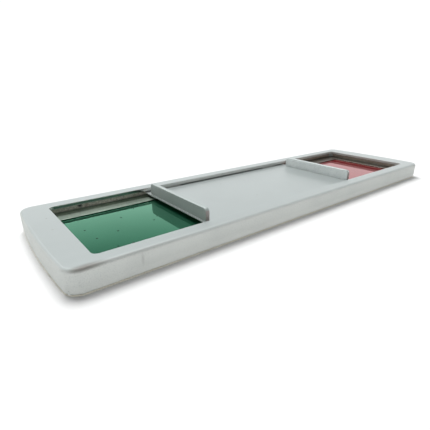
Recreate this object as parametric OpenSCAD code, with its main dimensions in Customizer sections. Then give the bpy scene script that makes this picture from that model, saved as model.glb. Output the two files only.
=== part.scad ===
// A slim tray with a green well and a red well under one lipped frame. A cover plate with two
// upright finger bars slides along grooves under the lips and hides half of the opening.
// Origin: bottom centre of the tray. +X runs along the tray from green to red, +Z is up.

/* [Frame] */
// Length of the frame between its corners
frame_len = 220.6; // [216:0.2:240]
// How far each end bows out in the middle
end_bow = 1; // [0.2:0.1:2]
// Width of the frame
frame_w = 63.8; // [63:0.2:72]
// Height of the frame above the table
frame_h = 8.6; // [8.4:0.1:10]
// Radius of the four upright corners
corner_r = 5.4; // [3.6:0.2:8]
// Rounding of the outer top edge
edge_round = 1.2; // [0.4:0.1:1.5]

/* [Opening] */
// Length of the opening in the top
opening_len = 200; // [190:1:200]
// Width of the opening in the top
opening_w = 51.4; // [46:0.2:51.4]
// Radius of the opening's corners
opening_r = 2; // [1:0.5:4]
// Thickness of the lips over the grooves
lip_t = 1.65; // [1:0.05:1.8]
// How far the grooves reach under the lips
groove_depth = 2.7; // [2.6:0.1:2.8]

/* [Slide] */
// Length of the cover plate
plate_len = 101.3; // [90:0.1:101.3]
// Thickness of the cover plate
plate_t = 1.2; // [1:0.1:1.3]
// How far the plate's long edges reach under the lips
plate_overlap = 1.3; // [1.1:0.1:1.4]
// Where the middle of the plate rests along the tray
rest_x = -5.15; // [-40:0.05:40]

/* [Finger bars] */
// Length of each bar across the tray
bar_len = 44; // [30:1:46]
// Thickness of each bar
bar_t = 1.95; // [1.2:0.05:2.5]
// Height of each bar above the plate
bar_h = 5.3; // [4:0.1:9]
// How far each bar stands in from the plate's end
bar_setback = 0.7; // [0.3:0.1:3]
// Rounding of the bar's two top corners
bar_r = 1.8; // [0.5:0.1:2.5]

/* [Wells] */
// Thickness of the coloured panels
panel_t = 2; // [1.5:0.1:2]
// Thickness of the mask around the panels
mask_t = 0.44; // [0.3:0.02:0.5]
// Width of the mask that shows along the long sides
mask_side = 7; // [4:0.5:9]
// Width of the mask that shows at the left end
mask_left = 2; // [1:0.1:9]
// Width of the mask that shows at the right end
mask_right = 4.4; // [1:0.1:9]
// Width of the mask's bar between the two wells
mask_bar = 6; // [3:0.5:10]

/* [Base] */
// Thickness of the soft pad that the tray rests on
pad_t = 0.5; // [0.4:0.1:0.6]
// Thickness of the base plate
base_t = 1.2; // [1:0.1:1.3]
// Thickness of the foam under the panels
foam_t = 0.46; // [0.3:0.02:0.5]

/* [Screws] */
// Diameter of the screw shanks
screw_d = 2; // [1.6:0.2:2]
// Length of the screws
screw_len = 5; // [4:0.5:5]

/* [Hidden] */
$fn = 64;

// Clearances: between seated pieces, between sliding faces, and a cut past a face.
seat_gap = 0.1;
slide_gap = 0.1;
cut = 1;
// Thickness of the slices that the rounded top edge is stretched between
slice = 0.01;

// Heights, counted up from the table
base_z = pad_t;
foam_z = base_z + base_t;
panel_z = foam_z + foam_t;
well_z = panel_z + panel_t;
mask_top = well_z + mask_t;
lip_z = frame_h - lip_t;

// The cavity under the lips, and the rebate that the base plate sits in
cavity_len = opening_len + 2 * groove_depth - 0.2;
cavity_w = opening_w + 2 * groove_depth;
cavity_r = opening_r + 0.5;
rebate_len = frame_len - 3.8;
rebate_w = frame_w - 3.8;
rebate_r = corner_r - 1.6;

// The plate lies midway in the grooves, a little nearer to the lips
plate_w = opening_w + 2 * plate_overlap;
plate_top = lip_z - 0.45;
plate_z = plate_top - plate_t;
// Height of the plate's upright end face above its undercut
plate_edge = 0.35;

bar_x = plate_len / 2 - bar_setback - bar_t / 2;
tab_len = 8;
tab_pitch = 14;
tab_gap = 0.05;

// Felt along the grooves' walls
felt_t = 0.7;
felt_z = mask_top + 0.05;
felt_h = lip_z - felt_z - 0.05;
felt_face = cavity_w / 2 - seat_gap / 2 - felt_t;

// Glides clipped over the plate's long edges, in 14 mm from its ends
glide_len = 12;
glide_in = 14;
glide_y0 = opening_w / 2 + 0.25;
glide_y1 = felt_face - slide_gap;
glide_z0 = mask_top + slide_gap;
glide_z1 = lip_z - slide_gap;

screw_x = frame_len / 2 - 4.7;
screw_rows = [-22, -7.5, 7.5, 22];
head_r = screw_d * 0.95;
head_h = 0.9;
head_sink = 0.02;
recess = [2.2, 0.4, 0.5];

metal = [0.77, 0.81, 0.81];
light_grey = [0.58, 0.65, 0.6];
felt = [0.28, 0.25, 0.2];

// A rectangle centred on the origin with round corners
module rounded_rect(length, width, r) {
    square([length - 2 * r, width], center = true);
    square([length, width - 2 * r], center = true);
    for (sx = [-1, 1], sy = [-1, 1])
        translate([sx * (length / 2 - r), sy * (width / 2 - r)]) circle(r = r);
}

// The tray's plan: a rounded rectangle whose two ends bow out along large arcs
module tray_outline(inset = 0) {
    half_l = frame_len / 2 - inset;
    r = corner_r - inset;
    chord = frame_w / 2 - corner_r;
    bow_r = (chord * chord + end_bow * end_bow) / (2 * end_bow);
    rounded_rect(2 * half_l, frame_w - 2 * inset, r);
    for (s = [-1, 1]) intersection() {
        translate([s * (half_l + end_bow - bow_r), 0]) circle(r = bow_r, $fn = 360);
        translate([s * (half_l + (end_bow - cut) / 2), 0]) square([end_bow + cut, 2 * chord], center = true);
    }
}

module tray_slice(inset, z) {
    translate([0, 0, z - slice]) linear_extrude(slice) tray_outline(inset);
}

// The outer block of the frame, with its top edge rounded in two facets
module frame_block() {
    edge_z = frame_h - edge_round;
    facet = edge_round * (1 - cos(45));
    translate([0, 0, pad_t]) linear_extrude(edge_z - pad_t) tray_outline();
    hull() {
        tray_slice(0, edge_z + slice);
        tray_slice(facet, frame_h - facet);
        tray_slice(edge_round, frame_h);
    }
}

// Puts its children at each screw's place, on the table's level
module at_screws() {
    for (sx = [-1, 1], y = screw_rows) translate([sx * screw_x, y, 0]) children();
}

// One long block of the given size, centred in plan, standing on z
module slab(size, z) {
    translate([0, 0, z + size[2] / 2]) cube(size, center = true);
}

module top_frame() {
    color(metal) difference() {
        frame_block();
        linear_extrude(frame_h + cut) rounded_rect(opening_len, opening_w, opening_r);
        linear_extrude(lip_z) rounded_rect(cavity_len, cavity_w, cavity_r);
        linear_extrude(foam_z) rounded_rect(rebate_len, rebate_w, rebate_r);
        at_screws() cylinder(r = screw_d / 2 + tab_gap, h = base_z + screw_len + 0.4, $fn = 32);
    }
}

// A window in the mask, from x0 to x1
module window(x0, x1) {
    translate([(x0 + x1) / 2, 0]) rounded_rect(x1 - x0, opening_w - 2 * mask_side, 1.2);
}

module window_mask() {
    color(light_grey) translate([0, 0, well_z]) linear_extrude(mask_t) difference() {
        rounded_rect(cavity_len - 2 * seat_gap, cavity_w - 2 * seat_gap, cavity_r - seat_gap);
        window(mask_left - opening_len / 2, -mask_bar / 2);
        window(mask_bar / 2, opening_len / 2 - mask_right);
    }
}

// Half of the panel bed, left of or right of the spacer: s is -1 or 1. Its outer corners are round,
// like the cavity's.
module half_bed(s, thickness, z) {
    spacer = 1.2;
    bed_len = cavity_len / 2 - seat_gap;
    translate([0, 0, z]) linear_extrude(thickness) intersection() {
        rounded_rect(2 * bed_len, cavity_w - 4 * seat_gap, cavity_r - seat_gap);
        translate([s * (spacer / 2 + bed_len / 2), 0]) square([bed_len, cavity_w], center = true);
    }
}

module green_panel() { color([0.05, 0.34, 0.2]) half_bed(-1, panel_t, panel_z); }
module red_panel() { color([0.62, 0.09, 0.11]) half_bed(1, panel_t, panel_z); }
module green_foam_pad() { color([0.2, 0.2, 0.2]) half_bed(-1, foam_t, foam_z); }
module red_foam_pad() { color([0.2, 0.2, 0.2]) half_bed(1, foam_t, foam_z); }

module centre_spacer() {
    color([0.12, 0.12, 0.12]) slab([0.9, cavity_w - 4 * seat_gap, panel_t], panel_z);
}

module base_plate() {
    color("silver") difference() {
        translate([0, 0, base_z]) linear_extrude(base_t)
            rounded_rect(rebate_len - 3 * seat_gap, rebate_w - 3 * seat_gap, rebate_r - seat_gap);
        at_screws() {
            cylinder(r = screw_d / 2 + seat_gap, h = foam_z + cut, $fn = 32);
            translate([0, 0, base_z + head_sink])
                cylinder(r1 = head_r + tab_gap, r2 = screw_d / 2 + tab_gap, h = head_h, $fn = 32);
            cylinder(r = head_r + tab_gap, h = base_z + head_sink, $fn = 32);
        }
    }
}

module base_screws() {
    color("gainsboro") at_screws() translate([0, 0, base_z + head_sink]) difference() {
        union() {
            cylinder(r1 = head_r, r2 = screw_d / 2, h = head_h, $fn = 32);
            cylinder(r = screw_d / 2, h = screw_len, $fn = 32);
        }
        for (turn = [0, 90]) rotate([0, 0, turn]) cube([recess[0], recess[1], 2 * recess[2]], center = true);
    }
}

module base_pad() { color([0.93, 0.91, 0.82]) linear_extrude(pad_t) tray_outline(0.2); }

// A felt strip on a long wall, s is -1 for the near one, or on an end wall, s is -1 for the left
module side_felt(s) {
    color(felt) translate([0, s * (felt_face + felt_t / 2), 0])
        slab([cavity_len - 2 * cavity_r, felt_t, felt_h], felt_z);
}
module end_felt(s) {
    color(felt) translate([s * (cavity_len / 2 - seat_gap / 2 - felt_t / 2), 0, 0])
        slab([felt_t, cavity_w - 2 * cavity_r, felt_h], felt_z);
}
module far_felt_strip() { side_felt(1); }
module near_felt_strip() { side_felt(-1); }
module left_felt_strip() { end_felt(-1); }
module right_felt_strip() { end_felt(1); }

// The cover plate's side view: its two ends are undercut, which leaves a thin upright edge
module plate_profile() {
    half = plate_len / 2;
    under = plate_t - plate_edge;
    polygon([[-half, plate_t], [-half, under], [-half + under, 0],
        [half - under, 0], [half, under], [half, plate_t]]);
}

module slide_plate() {
    color(metal) translate([rest_x, 0, plate_z]) difference() {
        intersection() {
            translate([0, plate_w / 2, 0]) rotate([90, 0, 0]) linear_extrude(plate_w) plate_profile();
            linear_extrude(plate_t) rounded_rect(plate_len, plate_w, 1);
        }
        for (s = [-1, 1], i = [-1:1]) translate([s * bar_x, i * tab_pitch, 0])
            cube([bar_t + 2 * tab_gap, tab_len + 2 * tab_gap, 3 * plate_t], center = true);
    }
}

// A finger bar with round top corners, on three tabs that pass through the plate
module finger_bar(s) {
    low = bar_h - bar_r;
    color(metal) translate([rest_x + s * bar_x, 0, plate_top]) {
        translate([-bar_t / 2, 0, 0]) rotate([90, 0, 90]) linear_extrude(bar_t) {
            translate([-bar_len / 2, 0]) square([bar_len, low]);
            translate([-bar_len / 2 + bar_r, 0]) square([bar_len - 2 * bar_r, bar_h]);
            for (e = [-1, 1]) translate([e * (bar_len / 2 - bar_r), low]) circle(r = bar_r);
        }
        for (i = [-1:1]) translate([0, i * tab_pitch, -plate_t / 2]) cube([bar_t, tab_len, plate_t], center = true);
    }
}
module left_finger_bar() { finger_bar(-1); }
module right_finger_bar() { finger_bar(1); }

// A glide clipped over the plate's edge: sx picks its end of the plate, sy its side
module glide(sx, sy) {
    depth = glide_y1 - glide_y0;
    height = glide_z1 - glide_z0;
    color([0.9, 0.9, 0.88]) translate([rest_x + sx * (plate_len / 2 - glide_in), 0, 0]) difference() {
        translate([0, sy * (glide_y0 + glide_y1) / 2, 0]) slab([glide_len, depth, height], glide_z0);
        slab([glide_len + cut, plate_w + 2 * tab_gap, plate_t + 2 * tab_gap], plate_z - tab_gap);
    }
}
module far_left_glide() { glide(-1, 1); }
module far_right_glide() { glide(1, 1); }
module near_left_glide() { glide(-1, -1); }
module near_right_glide() { glide(1, -1); }

top_frame();
window_mask();
green_panel();
red_panel();
centre_spacer();
green_foam_pad();
red_foam_pad();
base_plate();
base_screws();
base_pad();
far_felt_strip();
near_felt_strip();
left_felt_strip();
right_felt_strip();
slide_plate();
left_finger_bar();
right_finger_bar();
far_left_glide();
far_right_glide();
near_left_glide();
near_right_glide();
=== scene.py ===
# %% [markdown]
# # A tray with a sliding cover
# The tray is a slim satin metal frame, 222 mm long, round a green and a red panel with a mirror gloss.
# A cover plate slides under the frame's lips and is pushed by two upright finger bars.
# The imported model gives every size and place. This script rebuilds each piece that shows with finer
# edges, and paints it. A piece is never moved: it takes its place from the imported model.

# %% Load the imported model
import math
import random

import bmesh
import bpy
from mathutils import Matrix, Vector


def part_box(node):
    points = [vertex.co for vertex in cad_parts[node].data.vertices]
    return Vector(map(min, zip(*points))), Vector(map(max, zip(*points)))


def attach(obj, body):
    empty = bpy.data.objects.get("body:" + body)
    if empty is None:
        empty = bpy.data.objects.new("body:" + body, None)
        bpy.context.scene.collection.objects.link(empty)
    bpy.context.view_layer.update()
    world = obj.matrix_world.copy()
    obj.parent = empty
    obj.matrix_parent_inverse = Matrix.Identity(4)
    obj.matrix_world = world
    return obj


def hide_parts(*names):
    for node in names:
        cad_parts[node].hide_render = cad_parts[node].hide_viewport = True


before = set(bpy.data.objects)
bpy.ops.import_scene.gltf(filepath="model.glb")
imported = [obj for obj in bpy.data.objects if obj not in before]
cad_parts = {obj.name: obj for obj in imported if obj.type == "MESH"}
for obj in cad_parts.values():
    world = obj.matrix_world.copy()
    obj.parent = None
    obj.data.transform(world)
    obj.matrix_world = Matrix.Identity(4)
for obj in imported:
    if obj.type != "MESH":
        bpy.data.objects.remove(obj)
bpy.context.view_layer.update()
MM = 0.001

# %% [markdown]
# ## Sizes from the model
# The outer sizes of a piece come from its box. The frame's opening and the groove under its lips are
# holes, so a box can't give them. Their edges are loops of vertices at one height, and the outermost
# vertices of such a loop give its half length, half width and corner radius.

# %% Measure the frame's loops
NEAR = 0.02 * MM


def loop_size(node, z, limit):
    """Half length, half width and corner radius of the outermost loop at height z inside a limit."""
    points = [v.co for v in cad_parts[node].data.vertices if abs(v.co.z - z) < NEAR]
    points = [p for p in points if abs(p.x) < limit[0] and abs(p.y) < limit[1]]
    half_l = max(abs(p.x) for p in points)
    half_w = max(abs(p.y) for p in points)
    at_end = max(abs(p.y) for p in points if abs(p.x) > half_l - NEAR)
    return half_l, half_w, half_w - at_end


frame_low, frame_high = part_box("top_frame")
WALL = 3.2 * MM  # less than the frame's wall, so the outer rim is left out
within_wall = (frame_high.x - WALL, frame_high.y - WALL)
felt_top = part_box("far_felt_strip")[1].z
lip_z = min(v.co.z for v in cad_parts["top_frame"].data.vertices if v.co.z > felt_top)
opening = loop_size("top_frame", frame_high.z, within_wall)
cavity = loop_size("top_frame", lip_z, within_wall)
print("opening, cavity (mm):", [[round(s / MM, 2) for s in size] for size in (opening, cavity)])

# %% [markdown]
# ## Rings and lofts
# Nearly every piece here is a stack of rounded rectangles. It could be a cube with a Bevel modifier,
# but a bevel rounds all edges alike. A loft gives each edge its own rounding: rings with the same
# number of points are laid one above the other, and quads join each ring to the next.

# %% Ring and loft helpers
CORNER_STEPS = 10
END_STEPS = 12
SIDE_STEPS = 28
WELD = 1e-6
SQUARE_R = 0.02 * MM  # a corner radius that looks square but still gives a ring all its points


def spread(start, end, steps):
    return [start + (end - start) * i / steps for i in range(steps)]


def ring(half_l, half_w, r, z, bow=0.0, centre=(0.0, 0.0)):
    """A rounded rectangle at height z. bow pushes the middle of both ends outwards."""
    flat_x, flat_y = half_l - r, half_w - r
    points = []
    for quarter, (sx, sy) in enumerate(((1, 1), (-1, 1), (-1, -1), (1, -1))):
        for i in range(CORNER_STEPS):
            turn = (quarter + i / CORNER_STEPS) * math.pi / 2
            points.append((sx * flat_x + r * math.cos(turn), sy * flat_y + r * math.sin(turn)))
        if quarter in (0, 2):
            points += [(x, sy * half_w) for x in spread(sx * flat_x, -sx * flat_x, SIDE_STEPS)]
        else:
            points += [(sx * half_l, y) for y in spread(sy * flat_y, -sy * flat_y, END_STEPS)]
    bent = []
    for x, y in points:
        at_end = bow and abs(x) > flat_x
        out = bow * max(0.0, 1 - (y / flat_y) ** 2) if at_end else 0.0
        bent.append(Vector((x + math.copysign(out, x) + centre[0], y + centre[1], z)))
    return bent


def loft(name, rings, closed=False):
    """Joins each ring to the next with quads. An open stack also gets a face at each end."""
    bm = bmesh.new()
    rows = [[bm.verts.new(p) for p in points] for points in rings]
    pairs = list(zip(rows, rows[1:]))
    if closed:
        pairs.append((rows[-1], rows[0]))
    for low, high in pairs:
        for i in range(len(low)):
            j = (i + 1) % len(low)
            bm.faces.new((low[i], low[j], high[j], high[i]))
    if not closed:
        bm.faces.new(rows[0])
        bm.faces.new(rows[-1])
    bmesh.ops.remove_doubles(bm, verts=bm.verts, dist=WELD / 2)
    bmesh.ops.recalc_face_normals(bm, faces=bm.faces)
    mesh = bpy.data.meshes.new(name)
    bm.to_mesh(mesh)
    bm.free()
    piece = bpy.data.objects.new(name, mesh)
    bpy.context.scene.collection.objects.link(piece)
    return piece


def smooth(piece, sharp_above=50):
    """Smooth shading that stays flat on the large faces and breaks only at sharp corners."""
    piece.data.shade_smooth()
    piece.data.set_sharp_from_angle(angle=math.radians(sharp_above))
    even = piece.modifiers.new("even_shading", "WEIGHTED_NORMAL")
    even.keep_sharp = True
    return piece


def round_over(radius, steps=4):
    """(inset, drop) of each step round a quarter circle, from an upright face to the flat above it."""
    turns = [math.pi / 2 * i / steps for i in range(steps + 1)]
    return [(radius * (1 - math.cos(t)), radius * (1 - math.sin(t))) for t in turns]


def place(piece, body, slot, *nodes):
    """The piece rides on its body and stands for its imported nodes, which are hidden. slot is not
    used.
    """
    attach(piece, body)
    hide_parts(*nodes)
    size = [round(d / MM, 2) for d in piece.dimensions]
    print(piece.name, "faces", len(piece.data.polygons), "size mm", size)
    return piece


# %% [markdown]
# ## Camera, floor and light
# A short lens close to the tray gives the strong perspective: the near end looks twice as wide as the
# far one. The floor is plain and pale. One very soft lamp stands high behind the tray, so the shadows
# are soft bands along the near side and left of each finger bar. The sky is a light tent. Behind the
# tray it is bright low down, where the glossy panels mirror it, and darker above. On the camera's side
# it is dark, save for a low bright band that lights the upright faces. One even white dome could light
# it all, but then the panels would mirror white everywhere and the metal would lose its shading. What
# the camera sees directly is plain white.
#
# The sky is a tree of nodes, as each material is. Two helpers that build such trees are written here,
# before the sky: one adds a node with its settings, and the other mixes two colours.

# %% Camera
CAMERA_SPOT = (-0.12671, -0.11732, 0.05640)
CAMERA_TURN = math.radians(38.59)
CAMERA_TILT = math.radians(21.56)
CAMERA_ROLL = math.radians(0.33)
SENSOR = 36.0
LENS = 28.02
NEAREST = 0.005

camera_data = bpy.data.cameras.new("camera")
camera_data.sensor_width = SENSOR
camera_data.lens = LENS
camera_data.clip_start = NEAREST
camera = bpy.data.objects.new("camera", camera_data)
bpy.context.scene.collection.objects.link(camera)
camera.matrix_world = (
    Matrix.Translation(CAMERA_SPOT)
    @ Matrix.Rotation(-CAMERA_TURN, 4, "Z")
    @ Matrix.Rotation(math.pi / 2 - CAMERA_TILT, 4, "X")
    @ Matrix.Rotation(CAMERA_ROLL, 4, "Z")
)
bpy.context.scene.camera = camera
print("camera", [round(c, 4) for c in camera.location])

# %% Lamp
LAMP_POWER = 3.0
LAMP_SPREAD = math.radians(36)
LAMP_FROM = Vector((0.12, 0.43, 0.89))

lamp_data = bpy.data.lights.new("soft_lamp", "SUN")
lamp_data.energy = LAMP_POWER
lamp_data.angle = LAMP_SPREAD
lamp = bpy.data.objects.new("soft_lamp", lamp_data)
bpy.context.scene.collection.objects.link(lamp)
lamp.rotation_euler = LAMP_FROM.to_track_quat("Z", "Y").to_euler()
print("lamp power", LAMP_POWER, "spread", round(math.degrees(LAMP_SPREAD)), "degrees")

# %% Node helpers


def add(tree, kind, **settings):
    """A node with its settings, and its inputs set to a value or linked to the socket given."""
    node = tree.nodes.new("ShaderNode" + kind)
    sockets = settings.pop("sockets", {})
    for key, value in settings.items():
        setattr(node, key, value)
    for key, value in sockets.items():
        target = node.inputs[key]
        if isinstance(value, bpy.types.NodeSocket):
            tree.links.new(value, target)
        else:
            target.default_value = value
    return node


def blend_colour(tree, factor, first, second):
    """Mixes two colours, each given as a triple or a socket."""
    node = add(tree, "Mix", data_type="RGBA", sockets={"Factor": factor})
    for key, colour in (("A", first), ("B", second)):
        if isinstance(colour, bpy.types.NodeSocket):
            tree.links.new(colour, node.inputs[key])
        else:
            node.inputs[key].default_value = (*colour, 1)
    return node.outputs["Result"]


# %% Sky
BRIGHT_SIDE = (0.62, 0.78, 0.0)
TENT_LOW = (1.04, 1.06, 1.06)
TENT_HIGH = (0.26, 0.27, 0.27)
LOW_BAND = (1.6, 1.6, 1.6)
DARK_SIDE = (0.11, 0.11, 0.11)
BACKDROP = (1.04, 1.04, 1.04)

world = bpy.data.worlds.new("light_tent")
bpy.context.scene.world = world
world.use_nodes = True
sky = world.node_tree


def sky_ramp(value, low, high):
    """Rises in a straight line from 0 at low to 1 at high."""
    sockets = {"Value": value, "From Min": low, "From Max": high}
    return add(sky, "MapRange", sockets=sockets).outputs["Result"]


look = add(sky, "TexCoord").outputs["Generated"]
height = add(sky, "SeparateXYZ", sockets={"Vector": look}).outputs["Z"]
towards = add(sky, "VectorMath", operation="DOT_PRODUCT", sockets={0: look, 1: BRIGHT_SIDE})
behind_tray = blend_colour(sky, sky_ramp(height, 0.345, 0.47), TENT_LOW, TENT_HIGH)
camera_side = blend_colour(sky, sky_ramp(height, 0.1, 0.25), LOW_BAND, DARK_SIDE)
tent = blend_colour(sky, sky_ramp(towards.outputs["Value"], -0.3, 0.4), camera_side, behind_tray)
seen = add(sky, "LightPath").outputs["Is Camera Ray"]
backdrop = blend_colour(sky, seen, tent, BACKDROP)
sky.links.new(backdrop, sky.nodes["Background"].inputs["Color"])
bpy.context.scene.view_settings.view_transform = "Standard"
print("sky nodes:", len(sky.nodes))

# %% Floor
FLOOR_HALF = 6.0
FLOOR_TONE = (0.96, 0.96, 0.96, 1)
FLOOR_ROUGHNESS = 0.9

floor_mesh = bpy.data.meshes.new("floor")
corners = [(x * FLOOR_HALF, y * FLOOR_HALF, 0.0) for x, y in ((-1, -1), (1, -1), (1, 1), (-1, 1))]
floor_mesh.from_pydata(corners, [], [(0, 1, 2, 3)])
floor = bpy.data.objects.new("floor", floor_mesh)
bpy.context.scene.collection.objects.link(floor)
floor_paint = bpy.data.materials.new("floor_paper")
floor_paint.use_nodes = True
floor_shader = floor_paint.node_tree.nodes["Principled BSDF"]
floor_shader.inputs["Base Color"].default_value = FLOOR_TONE
floor_shader.inputs["Roughness"].default_value = FLOOR_ROUGHNESS
floor.data.materials.append(floor_paint)
print("floor half width", FLOOR_HALF, "m")

# %% [markdown]
# ## The frame
# The real frame is one casting, machined from below. Its section is a tall wall with a lip at the top,
# and that section runs all the way round. So the loft starts at the wall's foot, goes up the outside,
# over the rounded top edge, down through the opening, out under the lip and down the inside, and
# closes on itself. The ends bow out by a millimetre at their middle, and the bow begins where the
# corners' arcs end.

# %% Build the frame
TOP_ROUND = 1.2 * MM
LIP_ROUND = 0.3 * MM
FOOT_ROUND = 0.45 * MM
outer_w = frame_high.y
CORNER_R = 5.4 * MM
BOW = 1.0 * MM
outer_l = frame_high.x - BOW
FOOT_WALL = 1.5 * MM
within_foot = (frame_high.x - FOOT_WALL, frame_high.y - FOOT_WALL)
rebate = loop_size("top_frame", frame_low.z, within_foot)
step_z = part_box("base_plate")[1].z


def outline(inset, z):
    return ring(outer_l - inset, outer_w - inset, CORNER_R - inset, z, BOW)


def hole(size, grow, z):
    return ring(size[0] + grow, size[1] + grow, size[2] + grow, z)


rings = [outline(i, frame_low.z + d) for i, d in reversed(round_over(FOOT_ROUND, 2))]
rings += [outline(i, frame_high.z - d) for i, d in round_over(TOP_ROUND, 6)]
rings += [hole(opening, i, frame_high.z - d) for i, d in reversed(round_over(LIP_ROUND, 3))]
rings += [hole(opening, i, lip_z + d) for i, d in round_over(LIP_ROUND / 2, 2)]
rings += [hole(cavity, 0, lip_z), hole(cavity, 0, step_z)]
rings += [hole(rebate, 0, step_z), hole(rebate, 0, frame_low.z)]
tray_frame = smooth(loft("tray_frame", rings, closed=True))
place(tray_frame, "tray", "frame_metal", "top_frame")

# %% [markdown]
# ## The cover plate
# The plate is 1.2 mm sheet. Its two ends are undercut, so that only a thin bright edge shows above
# the dark panel. The long edges stay full, because they run in the grooves. The undercut is one more
# ring that is shorter than the others but as wide.

# %% Build the plate
plate_low, plate_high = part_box("slide_plate")
plate_half = (plate_high - plate_low) / 2
plate_mid = (plate_high + plate_low) / 2
under = plate_half.x - max(
    abs(v.co.x - plate_mid.x)
    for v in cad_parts["slide_plate"].data.vertices
    if v.co.z < plate_low.z + NEAR
)
PLATE_R = 1.0 * MM
PLATE_EDGE = 0.12 * MM
CRISP_ABOVE = 35  # degrees; a bend sharper than this stays a crisp edge


def plate_ring(inset, z, shorter=0.0):
    half_l = plate_half.x - inset - shorter
    return ring(half_l, plate_half.y - inset, PLATE_R, z, centre=plate_mid.xy)


rings = [plate_ring(0, plate_low.z, under), plate_ring(0, plate_low.z + under)]
rings += [plate_ring(i, plate_high.z - d) for i, d in round_over(PLATE_EDGE, 3)]
cover_plate = smooth(loft("cover_plate", rings), CRISP_ABOVE)
place(cover_plate, "slider", "slide_metal", "slide_plate")

# %% [markdown]
# ## The finger bars
# Each bar is a strip of flat stock set on edge, with its two top corners rounded and its edges broken
# with a file. It is a loft again, but turned: the rings are the bar's side view, stacked through its
# thickness. They shrink at both faces, more along the bar than at its top, so the ends are rounder than
# the top edge. The tabs that hold the bar are hidden in the plate and aren't repeated.

# %% Build the bars
BAR_CORNER = 1.8 * MM
BAR_EDGE = 0.28 * MM
BAR_ARC = 9
END_STRETCH = 2.2


def bar_side(half_l, foot, top, r, x):
    """The bar's side view: square at the foot, round at the two top corners."""
    arc = [math.pi / 2 * i / BAR_ARC for i in range(BAR_ARC + 1)]
    right = [Vector((x, half_l - r + r * math.cos(t), top - r + r * math.sin(t))) for t in arc]
    left = [Vector((x, -p.y, p.z)) for p in reversed(right)]
    return [Vector((x, half_l, foot)), *right, *left, Vector((x, -half_l, foot))]


def finger_bar(name, node):
    low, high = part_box(node)
    foot = plate_high.z
    steps = round_over(BAR_EDGE, 3)
    sides = [(low.x + i, d) for i, d in steps] + [(high.x - i, d) for i, d in reversed(steps)]
    rings = []
    for x, inset in sides:
        half_l = high.y - END_STRETCH * inset
        rings.append(bar_side(half_l, foot, high.z - inset, BAR_CORNER - inset, x))
    return smooth(loft(name, rings), CRISP_ABOVE)


left_bar = finger_bar("left_bar", "left_finger_bar")
right_bar = finger_bar("right_bar", "right_finger_bar")
place(left_bar, "slider", "slide_metal", "left_finger_bar")
place(right_bar, "slider", "slide_metal", "right_finger_bar")

# %% [markdown]
# ## Sheets: panels, foam, spacer and pad
# These are plain sheets with slightly broken edges. One helper makes a sheet from a node's box, with
# its corner radius and the rounding of its top and bottom edges. The pad under the tray follows the
# frame's bowed outline instead, so it is lofted from that.

# %% Build the sheets


def sheet_piece(name, slot, node, r, edge):
    low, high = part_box(node)
    half, mid = (high - low) / 2, (high + low) / 2
    edges = [(i, low.z + d) for i, d in reversed(round_over(edge, 2))]
    edges += [(i, high.z - d) for i, d in round_over(edge, 2)]
    rings = [ring(half.x - i, half.y - i, max(r - i, SQUARE_R), z, centre=mid.xy) for i, z in edges]
    return place(smooth(loft(name, rings)), "tray", slot, node)


PANEL_R = 2.4 * MM
SPACER_R = 0.2 * MM
PANEL_EDGE = 0.15 * MM
SOFT_EDGE = 0.1 * MM
green = sheet_piece("green_gloss_panel", "green_gloss", "green_panel", PANEL_R, PANEL_EDGE)
red = sheet_piece("red_gloss_panel", "red_gloss", "red_panel", PANEL_R, PANEL_EDGE)
green_foam = sheet_piece("green_foam", "foam", "green_foam_pad", PANEL_R, SOFT_EDGE)
red_foam = sheet_piece("red_foam", "foam", "red_foam_pad", PANEL_R, SOFT_EDGE)
spacer = sheet_piece("panel_spacer", "spacer_plastic", "centre_spacer", SPACER_R, SOFT_EDGE)

# %% Build the pad under the tray
pad_low, pad_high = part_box("base_pad")
PAD_EDGE = 0.12 * MM
PAD_INSET = 0.05 * MM
rings = [outline(PAD_INSET + i, pad_low.z + d) for i, d in reversed(round_over(PAD_EDGE, 2))]
rings += [outline(PAD_INSET + i, pad_high.z - d) for i, d in round_over(PAD_EDGE, 2)]
pad = smooth(loft("rubber_pad", rings))
place(pad, "tray", "pad_rubber", "base_pad")

# %% [markdown]
# ## Light for the panels
# The panels are so glossy that they would show the lamp as a hard white disc. Rougher panels would hide
# it and lose their mirror too. So the panels get a twin of the lamp that lights them without being
# mirrored, and the first lamp leaves them out. Light linking does both.

# %% Give the panels a lamp that they don't mirror
panel_lamp = lamp.copy()
panel_lamp.name = "panel_lamp"
panel_lamp.visible_glossy = False
bpy.context.scene.collection.objects.link(panel_lamp)
for light, state in ((lamp, "EXCLUDE"), (panel_lamp, "INCLUDE")):
    lit = bpy.data.collections.new(light.name + "_panels")
    light.light_linking.receiver_collection = lit
    for panel in (green, red):
        lit.objects.link(panel)
    for entry in lit.collection_objects:
        entry.light_linking.link_state = state
print("lamps:", lamp.name, "and", panel_lamp.name)

# %% [markdown]
# ## The mask round the panels
# The mask is a thin sheet with two windows and three fine grooves rolled round its border. Painted
# lines would look flat from the side, so the grooves are cut into the shape. Each half is a loft
# between its own outline and its window, over the top with the grooves on the way and down through
# the hole. The halves meet in the middle of the bar between the wells and are joined there.

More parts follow.
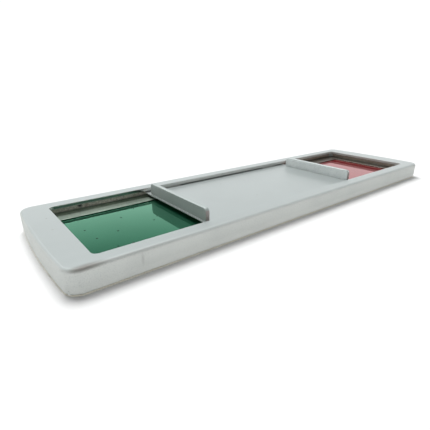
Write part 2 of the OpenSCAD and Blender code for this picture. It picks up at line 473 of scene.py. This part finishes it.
# %% Build the mask
mask_low, mask_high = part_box("window_mask")
MASK_RIM = 3 * MM
mask_verts = [v.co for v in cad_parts["window_mask"].data.vertices]
window_verts = [p for p in mask_verts if abs(p.y) < mask_high.y - MASK_RIM]
window_w = max(abs(p.y) for p in window_verts)
window_left = -min(p.x for p in window_verts)
window_right = max(p.x for p in window_verts)
window_near = min(abs(p.x) for p in window_verts)
MASK_EDGE = 0.1 * MM
WINDOW_R = 1.2 * MM
GROOVE_R = 0.3 * MM
GROOVE_EDGES = ((1.35, 1.75), (2.55, 2.85), (3.95, 4.35))
GROOVE_DEPTH = 0.28
GROOVE = []
for start, end in GROOVE_EDGES:
    GROOVE += [(start, 0.0), (start + 0.05, GROOVE_DEPTH), (end - 0.05, GROOVE_DEPTH), (end, 0.0)]
window_ends = (-window_left, -window_near, window_near, window_right)
print("windows (mm):", [round(v / MM, 2) for v in window_ends])


def mask_half(side, window_l):
    """The half with the window of half length window_l that ends at the middle bar."""
    half_x = mask_high.x / 2
    middle = (side * half_x, 0)
    window_middle = (side * (window_near + window_l), 0)
    rings = []
    for i, z in ((MASK_EDGE, mask_low.z), (0, mask_low.z + MASK_EDGE), (0, mask_high.z)):
        rings.append(ring(half_x, mask_high.y - i, SQUARE_R, z, centre=middle))
    for i, depth in GROOVE:
        level = mask_high.z - depth * MM
        rings.append(ring(half_x - i * MM, mask_high.y - i * MM, GROOVE_R, level, centre=middle))
    for i, d in reversed(round_over(MASK_EDGE, 2)):
        level = mask_high.z - d
        rings.append(ring(window_l + i, window_w + i, WINDOW_R, level, centre=window_middle))
    rings.append(ring(window_l, window_w, WINDOW_R, mask_low.z, centre=window_middle))
    return loft("mask_half", rings, closed=True)


left_half = mask_half(-1, (window_left - window_near) / 2)
right_half = mask_half(1, (window_right - window_near) / 2)
bm = bmesh.new()
for half in (left_half, right_half):
    bm.from_mesh(half.data)
    bpy.data.objects.remove(half)
bmesh.ops.remove_doubles(bm, verts=bm.verts, dist=WELD)
inner = [f for f in bm.faces if all(abs(v.co.x) < NEAR for v in f.verts)]
bmesh.ops.delete(bm, geom=inner, context="FACES")
bmesh.ops.recalc_face_normals(bm, faces=bm.faces)
mask_mesh = bpy.data.meshes.new("panel_mask")
bm.to_mesh(mask_mesh)
bm.free()
panel_mask = bpy.data.objects.new("panel_mask", mask_mesh)
bpy.context.scene.collection.objects.link(panel_mask)
smooth(panel_mask)
place(panel_mask, "tray", "mask_sheet", "window_mask")

# %% [markdown]
# ## Felt
# Felt has no clean edge: its face is lumpy and its rim is frayed. A bump map would leave the rim
# straight, so the strips are fine grids whose points are pushed about by seeded noise. Points move
# only inwards, because the strip may not grow out of its groove.

# %% Build the felt strips
FELT_CELL = 0.45 * MM
FELT_LUMP = 0.24
ON_FACE = 0.49  # the grid starts as a cube from -0.5 to 0.5
random.seed(7)


def felt_strip(name, node):
    low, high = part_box(node)
    size = high - low
    counts = [max(2, round(size[k] / FELT_CELL)) for k in range(3)]
    bm = bmesh.new()
    bmesh.ops.create_cube(bm, size=1.0)
    for k in range(3):
        long_edges = [e for e in bm.edges if abs((e.verts[0].co - e.verts[1].co)[k]) > 0.5]
        bmesh.ops.subdivide_edges(bm, edges=long_edges, cuts=counts[k] - 1, use_grid_fill=True)
    mid = (low + high) / 2
    for v in bm.verts:
        lumps = [random.uniform(0.0, FELT_LUMP) * MM for _ in range(3)]
        for k, lump in enumerate(lumps):
            across = v.co[k]
            sunk = lump if abs(across) > ON_FACE else 0.0
            v.co[k] = mid[k] + across * size[k] - math.copysign(sunk, across)
    bmesh.ops.recalc_face_normals(bm, faces=bm.faces)
    mesh = bpy.data.meshes.new(name)
    bm.to_mesh(mesh)
    bm.free()
    strip = bpy.data.objects.new(name, mesh)
    bpy.context.scene.collection.objects.link(strip)
    strip.data.shade_smooth()
    return place(strip, "tray", "felt", node)


felt_sides = ("far", "near", "left", "right")
felts = [felt_strip(side + "_felt", side + "_felt_strip") for side in felt_sides]

# %% [markdown]
# ## Grain, brushing, dust, soft marks and painted edge highlights
# Several materials share these effects, so each is a node group with named inputs, built once. Each
# group gives back masks or heights only; the shader stays in the material. All but the edge highlight
# mask work in millimetres on the piece's own coordinates, so they move with the piece.

# %% Node group helpers


def new_group(name, inputs, outputs):
    tree = bpy.data.node_groups.new(name, "ShaderNodeTree")
    for socket, value in inputs.items():
        made = tree.interface.new_socket(socket, in_out="INPUT", socket_type="NodeSocketFloat")
        made.default_value = value
    for socket in outputs:
        tree.interface.new_socket(socket, in_out="OUTPUT", socket_type="NodeSocketFloat")
    return tree, tree.nodes.new("NodeGroupInput"), tree.nodes.new("NodeGroupOutput")


def millimetres(tree, stretch=(1, 1, 1)):
    """The piece's own coordinates in millimetres, squeezed along some axes."""
    place_node = add(tree, "TexCoord")
    scale = [s / MM for s in stretch]
    sockets = {0: place_node.outputs["Object"], 1: scale}
    return add(tree, "VectorMath", operation="MULTIPLY", sockets=sockets).outputs["Vector"]


def maths(tree, operation, a, b=0.0):
    return add(tree, "Math", operation=operation, sockets={0: a, 1: b}).outputs[0]


def window(tree, value, low, high, out_low=0.0, out_high=1.0):
    """Maps low..high smoothly onto out_low..out_high."""
    limits = {"From Min": low, "From Max": high, "To Min": out_low, "To Max": out_high}
    sockets = {"Value": value, **limits}
    return add(tree, "MapRange", interpolation_type="SMOOTHSTEP", sockets=sockets).outputs["Result"]


# %% Grain: fine speckle, and the slow cloudiness under it
grain_sizes = {"Size": 0.3, "Cloud Size": 12.0}
grain, grain_in, grain_out = new_group("grain", grain_sizes, ["Speckle", "Cloud"])
fine = {"Vector": millimetres(grain), "Detail": 3.0, "Roughness": 0.7}
speckle = add(grain, "TexNoise", sockets=fine)
grain.links.new(maths(grain, "DIVIDE", 1.0, grain_in.outputs["Size"]), speckle.inputs["Scale"])
cloud = add(grain, "TexNoise", sockets={"Vector": millimetres(grain), "Detail": 2.0})
grain.links.new(maths(grain, "DIVIDE", 1.0, grain_in.outputs["Cloud Size"]), cloud.inputs["Scale"])
grain.links.new(speckle.outputs["Fac"], grain_out.inputs["Speckle"])
grain.links.new(cloud.outputs["Fac"], grain_out.inputs["Cloud"])
print("group", grain.name)

# %% Brushing: lines along the tray's length
brushing, brush_in, brush_out = new_group("brushing", {"Line Width": 0.25}, ["Lines"])
LINE_STRETCH = (0.012, 1, 1)
drawn_out = {"Vector": millimetres(brushing, LINE_STRETCH), "Detail": 4.0}
lines = add(brushing, "TexNoise", sockets=drawn_out)
fineness = maths(brushing, "DIVIDE", 1.0, brush_in.outputs["Line Width"])
brushing.links.new(fineness, lines.inputs["Scale"])
brushing.links.new(lines.outputs["Fac"], brush_out.inputs["Lines"])
print("group", brushing.name)

# %% Dust: a few small specks, far apart, for faces that lie flat
dust_sizes = {"Spacing": 9.0, "Speck Size": 0.02}
dust, dust_in, dust_out = new_group("dust", dust_sizes, ["Specks"])
scattered = {"Vector": millimetres(dust), "Randomness": 1.0}
cells = add(dust, "TexVoronoi", voronoi_dimensions="2D", sockets=scattered)
dust.links.new(maths(dust, "DIVIDE", 1.0, dust_in.outputs["Spacing"]), cells.inputs["Scale"])
near_speck = maths(dust, "LESS_THAN", cells.outputs["Distance"], dust_in.outputs["Speck Size"])
dust.links.new(near_speck, dust_out.inputs["Specks"])
print("group", dust.name)

# %% Soft mark: a soft patch with a place and a size in millimetres, gone at its rim
mark_places = {"X": 0.0, "Y": 0.0, "Z": 0.0}
mark_sizes = {"Half Length": 5.0, "Half Width": 1.0, "Half Height": 1.0}
soft_mark, mark_in, mark_out = new_group("soft_mark", {**mark_places, **mark_sizes}, ["Mark"])


def mark_vector(names):
    sockets = {i: mark_in.outputs[name] for i, name in enumerate(names)}
    return add(soft_mark, "CombineXYZ", sockets=sockets).outputs["Vector"]


def mark_maths(operation, a, b):
    return add(soft_mark, "VectorMath", operation=operation, sockets={0: a, 1: b}).outputs["Vector"]


offset = mark_maths("SUBTRACT", millimetres(soft_mark), mark_vector(mark_places))
share = mark_maths("DIVIDE", offset, mark_vector(mark_sizes))
from_middle = add(soft_mark, "VectorMath", operation="LENGTH", sockets={0: share}).outputs["Value"]
fading = window(soft_mark, from_middle, 0.1, 1.0, 1.0, 0.0)
soft_mark.links.new(fading, mark_out.inputs["Mark"])
print("group", soft_mark.name)

# %% Edge highlight: where the surface bends outwards, the mask of a painted highlight
edge_highlight, highlight_in, highlight_out = new_group("painted_edge_highlight", {"Start": 0.51, "End": 0.6}, ["Edge"])
bend = add(edge_highlight, "NewGeometry").outputs["Pointiness"]
bent_edge = window(edge_highlight, bend, highlight_in.outputs["Start"], highlight_in.outputs["End"])
edge_highlight.links.new(bent_edge, highlight_out.inputs["Edge"])
print("group", edge_highlight.name)

# %% Material helpers


def new_material(name, colour, roughness, metallic=0.0):
    """A Principled material whose plain values are set on the shader's own sockets."""
    material = bpy.data.materials.new(name)
    material.use_nodes = True
    tree = material.node_tree
    shader = tree.nodes["Principled BSDF"]
    shader.inputs["Base Color"].default_value = (*colour, 1)
    shader.inputs["Roughness"].default_value = roughness
    shader.inputs["Metallic"].default_value = metallic
    return material, tree, shader


def use(tree, group, **values):
    node = tree.nodes.new("ShaderNodeGroup")
    node.node_tree = group
    for key, value in values.items():
        node.inputs[key.replace("_", " ")].default_value = value
    return node


def bump(tree, shader, height, distance, strength=1.0):
    node = add(tree, "Bump", sockets={"Height": height, "Distance": distance, "Strength": strength})
    tree.links.new(node.outputs["Normal"], shader.inputs["Normal"])


def paint(material, *pieces):
    for piece in pieces:
        piece.data.materials.clear()
        piece.data.materials.append(material)
    print("painted with", material.name, ":", ", ".join(p.name for p in pieces))


# %% [markdown]
# ## Satin metal
# The frame and the slide are satin anodised aluminium. A pure metal came out too dark and too sharp,
# so the flat tops are half metal and half pale body: they mirror the right bar as a soft smear. The
# upright sides are duller and carry a fine grain. The inner faces of the opening are left as the tool
# cut them, bright enough to show the green panel in them, and they lose that polish past the cover.
# The surface's own direction picks the finish. Soft marks add a few smudges of use. They also paint a
# dark reflection along the near top edge, strongest at the left corner, and one long pale mark is
# painted light that keeps the near side's foot from looking too dark just above the floor's shadow.
# Rounded edges get a painted highlight.

# %% Satin metal: colour
SIDE_TO_TOP = (0.45, 1.0)  # how far up a face looks where its tone goes from the sides' to the top's
LYING_FLAT = (0.99, 0.9995)  # how far up a face looks to count as flat
DUST_TONE = (0.2, 0.2, 0.2)
TIP_DARK_TONE = (0.46, 0.41, 0.4)


def by_flatness(tree, up, side_value, flat_value):
    """One value on sides and rounded edges, another on faces that lie flat."""
    return window(tree, up, *LYING_FLAT, side_value, flat_value)


def satin_colour(tree, base, colour, up, side, speckle):
    """Painted highlight on rounded edges, slow clouds, a grain on the sides and dust on flat faces."""
    light = tuple(min(1.0, c * 1.2) for c in colour)
    dark = tuple(c * 0.88 for c in colour)
    edge = use(tree, edge_highlight)
    not_upright = window(tree, up, 0.02, 0.1)
    rounded = maths(tree, "MULTIPLY", not_upright, by_flatness(tree, up, 0.5, 0.0))
    # Painted highlight: rounded edges that bend outwards are lightened.
    base = blend_colour(tree, maths(tree, "MULTIPLY", edge.outputs["Edge"], rounded), base, light)
    cloudy = window(tree, speckle.outputs["Cloud"], 0.35, 0.75, 0.0, 0.2)
    base = blend_colour(tree, cloudy, base, dark)
    grainy = window(tree, speckle.outputs["Speckle"], 0.5, 0.68, 0.0, 0.5)
    base = blend_colour(tree, maths(tree, "MULTIPLY", grainy, side), base, dark)
    specks = use(tree, dust, Spacing=30.0, Speck_Size=0.008)
    flat = by_flatness(tree, up, 0.0, 1.0)
    dusty = maths(tree, "MULTIPLY", specks.outputs["Specks"], flat)
    return blend_colour(tree, dusty, base, DUST_TONE)


def add_marks(tree, base, marks):
    """Lays soft marks over a colour. Each is a place and size, a strength and a tone."""
    for spot, strength, tone in marks:
        mark = use(tree, soft_mark, **spot)
        share_of_mark = maths(tree, "MULTIPLY", mark.outputs["Mark"], strength)
        base = blend_colour(tree, share_of_mark, base, tone)
    return base


def darken_ends(tree, base, along_y, bar_half):
    """Darker within a quarter of a millimetre of a bar's two tips."""
    far_out = window(tree, maths(tree, "ABSOLUTE", along_y), bar_half - 0.25, bar_half - 0.05)
    return blend_colour(tree, far_out, base, TIP_DARK_TONE)


print("satin: side to top over", SIDE_TO_TOP, "flat over", LYING_FLAT)

# %% Satin metal: gloss and the whole material
SIDE_ROUGHNESS = 0.6
TOP_MIRROR = 0.48
LINE_ROUGHNESS = 0.012
LINE_HEIGHT = 0.05
SATIN_BUMP = 0.02 * MM
POLISH_GLOSS = 0.45  # how much smoother the tool's polish makes a face
POLISH_FADES = (-58, -46)  # from full to a quarter, in millimetres along the tray


def inner_polish(tree, where, side, well_half):
    """Where an upright face looks into the opening, full at the green end and less past the cover."""
    in_x = maths(tree, "LESS_THAN", maths(tree, "ABSOLUTE", where["X"]), well_half[0])
    in_y = maths(tree, "LESS_THAN", maths(tree, "ABSOLUTE", where["Y"]), well_half[1])
    facing_in = maths(tree, "MULTIPLY", maths(tree, "MULTIPLY", in_x, in_y), side)
    return maths(tree, "MULTIPLY", facing_in, window(tree, where["X"], *POLISH_FADES, 1.0, 0.25))


def satin_metal(
    name, tones, roughness=0.3, line_width=0.3, side_mirror=0.05, marks=(), dark_tips=None, inside=None
):
    """Satin metal in a top and a side tone. dark_tips is a bar's half length in millimetres, and inside
    the half sizes of the opening whose inner faces are polished."""
    colour, side_colour = tones
    material, tree, shader = new_material(name, colour, roughness)
    normal = add(tree, "NewGeometry").outputs["True Normal"]
    up = add(tree, "SeparateXYZ", sockets={"Vector": normal}).outputs["Z"]
    where = add(tree, "SeparateXYZ", sockets={"Vector": millimetres(tree)}).outputs
    top = window(tree, up, *SIDE_TO_TOP)
    side = maths(tree, "SUBTRACT", 1.0, top)
    speckle = use(tree, grain, Size=0.38, Cloud_Size=14.0)
    brushed = use(tree, brushing, Line_Width=line_width)

    base = blend_colour(tree, top, side_colour, colour)
    base = satin_colour(tree, base, colour, up, side, speckle)
    base = add_marks(tree, base, marks)
    if dark_tips:
        base = darken_ends(tree, base, where["Y"], dark_tips)

    rough = window(tree, brushed.outputs["Lines"], 0.3, 0.7, -LINE_ROUGHNESS, LINE_ROUGHNESS)
    rough = maths(tree, "ADD", rough, by_flatness(tree, up, SIDE_ROUGHNESS, roughness))
    mirror = by_flatness(tree, up, side_mirror, TOP_MIRROR)
    grained = side
    if inside:
        polish = inner_polish(tree, where, side, inside)
        mirror = maths(tree, "MAXIMUM", mirror, polish)
        grained = maths(tree, "SUBTRACT", side, polish)
        rough = maths(tree, "SUBTRACT", rough, maths(tree, "MULTIPLY", polish, POLISH_GLOSS))
    tree.links.new(base, shader.inputs["Base Color"])
    tree.links.new(mirror, shader.inputs["Metallic"])
    tree.links.new(rough, shader.inputs["Roughness"])

    grain_height = maths(tree, "MULTIPLY", speckle.outputs["Speckle"], grained)
    line_height = maths(tree, "MULTIPLY", brushed.outputs["Lines"], top)
    line_height = maths(tree, "MULTIPLY", line_height, LINE_HEIGHT)
    bump(tree, shader, maths(tree, "ADD", line_height, grain_height), SATIN_BUMP, 0.5)
    return material


print("satin: mirror share on top", TOP_MIRROR)

# %% Marks on the frame
near_y = -frame_high.y / MM
DARK_REFLECTION_TONE = (0.22, 0.21, 0.19)
GREY_SHADE = (0.4, 0.41, 0.39)
PAINTED_FOOT_LIGHT = (0.95, 0.97, 0.94)


def mark_at(x, y, z, length, width, height):
    """A soft mark's place and its half sizes, in millimetres."""
    return dict(X=x, Y=y, Z=z, Half_Length=length, Half_Width=width, Half_Height=height)


frame_marks = (
    # Painted light: a pale wash along the near side's foot, making up for the floor's shadow.
    (mark_at(0, near_y, 0.4, 220, 4, 3.6), 0.8, PAINTED_FOOT_LIGHT),
    # Painted dark reflection: two dark streaks along the near top edge, strongest at the left corner.
    (mark_at(-104.5, near_y + 0.5, 8.4, 9, 2.5, 1.3), 0.9, DARK_REFLECTION_TONE),
    (mark_at(-90, near_y + 0.2, 8.4, 32, 1.1, 0.7), 0.3, DARK_REFLECTION_TONE),
    (mark_at(-87, near_y, 5.5, 0.8, 1, 3.2), 0.4, GREY_SHADE),
    (mark_at(-104.5, 1, 8.6, 0.7, 0.9, 1), 0.5, GREY_SHADE),
)
print("marks on the frame:", len(frame_marks))

# %% Paint the frame and the slide
PAST_LIP = 0.6
TOP_TONE = (0.49, 0.535, 0.53)
FRAME_TONES = (TOP_TONE, (0.7, 0.73, 0.7))
SLIDE_TONES = (TOP_TONE, (0.7, 0.74, 0.73))
# The two bars are one metal, painted as lit and shaded copies: the right bar is paler, as painted light
# for the bounce off the deck beside it, and the left one darker, as painted shade over the green panel.
LEFT_SHADED_TONES = ((0.44, 0.49, 0.48), (0.56, 0.61, 0.595))
RIGHT_LIT_TONES = ((0.5, 0.55, 0.54), (0.9, 0.94, 0.93))
BAR_ROUGHNESS = 0.45
well_half = [size / MM + PAST_LIP for size in opening[:2]]
bar_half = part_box("left_finger_bar")[1].y / MM
frame_satin = satin_metal("frame_satin", FRAME_TONES, inside=well_half, marks=frame_marks)
slide_satin = satin_metal("slide_satin", SLIDE_TONES)
bar_finish = dict(roughness=BAR_ROUGHNESS, dark_tips=bar_half)
left_shaded_satin = satin_metal("left_bar_shaded_satin", LEFT_SHADED_TONES, side_mirror=0.55, **bar_finish)
right_lit_satin = satin_metal("right_bar_lit_satin", RIGHT_LIT_TONES, side_mirror=0.7, **bar_finish)
paint(frame_satin, tray_frame)
paint(slide_satin, cover_plate)
paint(left_shaded_satin, left_bar)
paint(right_lit_satin, right_bar)

# %% [markdown]
# ## Mirror gloss panels
# The panels are tinted sheets with a polished face. In the green one the colour lies in the mirror
# itself, as on a metallised sheet, so it goes nearly black where it mirrors something dark. The red
# one keeps more of a plain red body under its gloss. One helper makes both: the metallic value is the
# share of the coloured mirror, and what is left is the plain body with a clear shine.

# %% Panel material
PANEL_ROUGHNESS = 0.03


def gloss_panel(name, colour, mirror_share):
    material, tree, shader = new_material(name, colour, PANEL_ROUGHNESS, metallic=mirror_share)
    haze = use(tree, grain, Size=1.4, Cloud_Size=22.0)
    specks = use(tree, dust, Spacing=14.0, Speck_Size=0.028)
    thin = window(tree, haze.outputs["Cloud"], 0.3, 0.7, 0.0, 0.4)
    base = blend_colour(tree, thin, colour, tuple(c * 0.85 for c in colour))
    base = blend_colour(tree, specks.outputs["Specks"], base, tuple(c * 0.3 for c in colour))
    tree.links.new(base, shader.inputs["Base Color"])
    rough = window(tree, haze.outputs["Speckle"], 0.3, 0.8, 0.02, 0.05)
    rough = maths(tree, "ADD", rough, maths(tree, "MULTIPLY", specks.outputs["Specks"], 0.5))
    tree.links.new(rough, shader.inputs["Roughness"])
    return material


paint(gloss_panel("green_gloss", (0.042, 0.275, 0.152), 0.85), green)
paint(gloss_panel("red_gloss", (0.36, 0.03, 0.04), 0.5), red)

# %% [markdown]
# ## Mask, felt, rubber and the hidden pieces
# The mask is a thin plastic sheet with a metallised satin face, streaked along the tray. Its grooves
# and the edges of its windows are painted near black as shade. A plain matt grey was too even beside
# the glossy panels. The mask and the felt take a warm tone near the red panel, painted light for the
# red panel's bounce light, and the felt has one dark nick. The pad is cream rubber with a fine pebble.
# The pieces that are shut inside stay as packed and get a finish too, with their edges broken by a
# Bevel modifier.

# %% Matt finish


def matt(name, colour, dark, roughness, size, depth):
    """A matt finish: two tones in a grain of that size, and a bump of that depth, in millimetres."""
    material, tree, shader = new_material(name, colour, roughness)
    speckle = use(tree, grain, Size=size, Cloud_Size=size * 30)
    mixed = window(tree, speckle.outputs["Speckle"], 0.35, 0.65, 0.0, 0.6)
    base = blend_colour(tree, mixed, colour, dark)
    cloudy = window(tree, speckle.outputs["Cloud"], 0.3, 0.8, 0.0, 0.3)
    tree.links.new(blend_colour(tree, cloudy, base, dark), shader.inputs["Base Color"])
    bump(tree, shader, speckle.outputs["Speckle"], depth * MM, 0.6)
    return material, tree, shader


def base_colour(shader):
    """The colour that now feeds the shader."""
    return shader.inputs["Base Color"].links[0].from_socket


# The warm tone near the red panel is painted light: it stands in for the red panel's bounce light.
RED_BOUNCE_FROM, RED_BOUNCE_TO = 0, 45  # where the warm tone begins and is full, in millimetres along the tray

# %% Mask finish
MASK_LIGHT, MASK_DARK = (0.58, 0.7, 0.6), (0.41, 0.5, 0.42)
MASK_RED_BOUNCE = (0.36, 0.29, 0.26)
STREAK_TONE = (0.16, 0.18, 0.15)
GROOVE_SHADE_TONE = (0.012, 0.03, 0.018)

mask_paint, mask_tree, mask_shader = matt("mask_sheet", MASK_LIGHT, MASK_DARK, 0.3, 0.5, 0.003)
mask_shader.inputs["Metallic"].default_value = 0.9
mask_place = add(mask_tree, "SeparateXYZ", sockets={"Vector": millimetres(mask_tree)}).outputs
# Painted light: the red panel's bounce light on the mask, as a warm tone.
mask_red_bounce = window(mask_tree, mask_place["X"], RED_BOUNCE_FROM, RED_BOUNCE_TO, 0.0, 0.85)
mask_base = blend_colour(mask_tree, mask_red_bounce, base_colour(mask_shader), MASK_RED_BOUNCE)
streaks = use(mask_tree, brushing, Line_Width=0.5)
streaky = window(mask_tree, streaks.outputs["Lines"], 0.45, 0.6, 0.0, 0.6)
mask_base = blend_colour(mask_tree, streaky, mask_base, STREAK_TONE)
mask_top = mask_high.z / MM
# Painted shade: below the top face, the grooves' floors and the windows' edges go near black.
sunk = window(mask_tree, mask_place["Z"], mask_top - 0.14, mask_top - 0.05, 1.0, 0.0)
mask_base = blend_colour(mask_tree, sunk, mask_base, GROOVE_SHADE_TONE)
mask_tree.links.new(mask_base, mask_shader.inputs["Base Color"])
paint(mask_paint, panel_mask)

# %% Felt finish
FELT_LIGHT, FELT_DARK = (1.0, 1.0, 0.87), (0.16, 0.165, 0.13)
FELT_RED_BOUNCE = (0.42, 0.29, 0.22)
NICK_X = -87
NICK_TONE, TUFT_TONE = (0.01, 0.01, 0.008), (0.5, 0.47, 0.38)
far_felt_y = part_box("far_felt_strip")[0].y / MM

felt_paint, felt_tree, felt_shader = matt("brown_felt", FELT_LIGHT, FELT_DARK, 0.95, 0.45, 0.3)
felt_place = add(felt_tree, "SeparateXYZ", sockets={"Vector": millimetres(felt_tree)}).outputs
# Painted light: the red panel's bounce light on the felt, as a warm tone.
felt_red_bounce = window(felt_tree, felt_place["X"], RED_BOUNCE_FROM, RED_BOUNCE_TO, 0.0, 0.6)
felt_base = blend_colour(felt_tree, felt_red_bounce, base_colour(felt_shader), FELT_RED_BOUNCE)
nick_and_tuft = (
    (mark_at(NICK_X, far_felt_y, 6, 1.6, 1.5, 1.6), 1.0, NICK_TONE),
    (mark_at(NICK_X + 3, far_felt_y, 6, 1.6, 1.5, 1.6), 1.0, TUFT_TONE),
)
felt_base = add_marks(felt_tree, felt_base, nick_and_tuft)
felt_tree.links.new(felt_base, felt_shader.inputs["Base Color"])
felt_shader.inputs["Sheen Weight"].default_value = 0.4
felt_shader.inputs["Sheen Roughness"].default_value = 0.6
paint(felt_paint, *felts)

# %% Rubber, foam, plastic and nylon
rubber_paint, _, _ = matt("cream_rubber", (0.9, 0.88, 0.78), (0.8, 0.77, 0.66), 0.75, 0.4, 0.03)
foam_paint, _, _ = matt("black_foam", (0.03, 0.03, 0.03), (0.012, 0.012, 0.012), 0.9, 0.3, 0.08)
black_tones = ((0.02, 0.02, 0.02), (0.012, 0.012, 0.012))
spacer_paint, _, _ = matt("black_plastic", *black_tones, 0.45, 0.2, 0.01)
nylon_paint, _, _ = matt("white_nylon", (0.74, 0.74, 0.7), (0.66, 0.66, 0.62), 0.4, 0.3, 0.01)
paint(rubber_paint, pad)
paint(foam_paint, green_foam, red_foam)
paint(spacer_paint, spacer)

# %% Finish the hidden pieces
BROKEN_EDGE = 0.08 * MM
SHEET_TONES = ((0.6, 0.62, 0.63), (0.55, 0.57, 0.58))
STEEL_TONES = ((0.5, 0.5, 0.51), (0.45, 0.45, 0.46))
sheet_metal = satin_metal("mill_sheet", SHEET_TONES, line_width=0.6)
screw_steel = satin_metal("screw_steel", STEEL_TONES, line_width=0.1)
hidden = {"base_plate": sheet_metal, "base_screws": screw_steel}
hidden.update({f"{a}_{b}_glide": nylon_paint for a in ("far", "near") for b in ("left", "right")})
for node, finish in hidden.items():
    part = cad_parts[node]
    paint(finish, part)
    broken = part.modifiers.new("broken_edges", "BEVEL")
    broken.width = BROKEN_EDGE
    broken.segments = 2
    broken.limit_method = "ANGLE"
